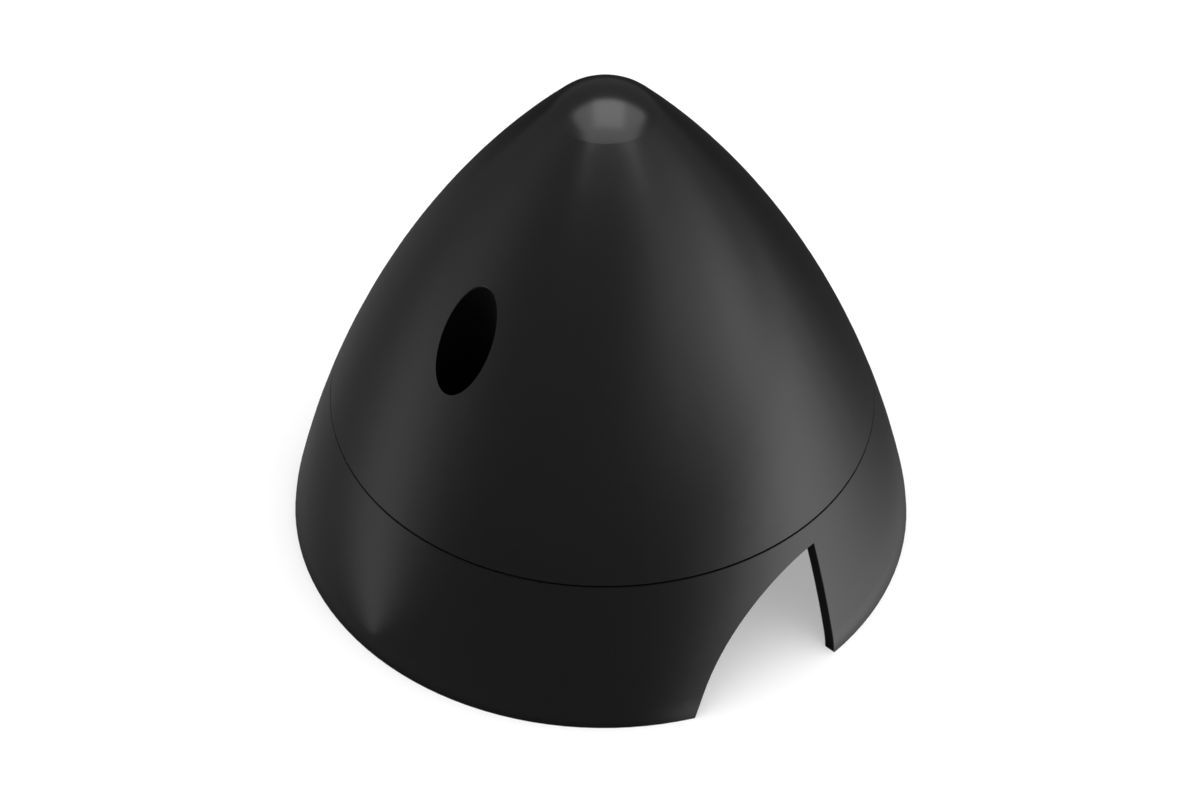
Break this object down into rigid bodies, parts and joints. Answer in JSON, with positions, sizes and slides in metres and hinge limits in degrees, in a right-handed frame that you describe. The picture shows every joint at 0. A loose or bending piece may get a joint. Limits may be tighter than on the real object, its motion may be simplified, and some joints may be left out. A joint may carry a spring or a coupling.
{
  "type": "propeller spinner",
  "caption": "Hollow pointed cone that covers a propeller hub, with half-arch blade cut-outs at its rim and deep screw wells in its flank.",
  "frame": {"origin": "centre of the flat rim that the cone stands on", "axes": "+Z along the cone's axis to its nose, Y through the axes of the screw wells, X through the blade cut-outs, whose straight sides lie a small angle past it"},
  "size_m": [0.07, 0.07, 0.0582],
  "materials": {
    "black_plastic": "semi-gloss moulded black plastic"
  },
  "bodies": {
    "root": {"spinner_cone": "black_plastic"}
  },
  "joints": []
}
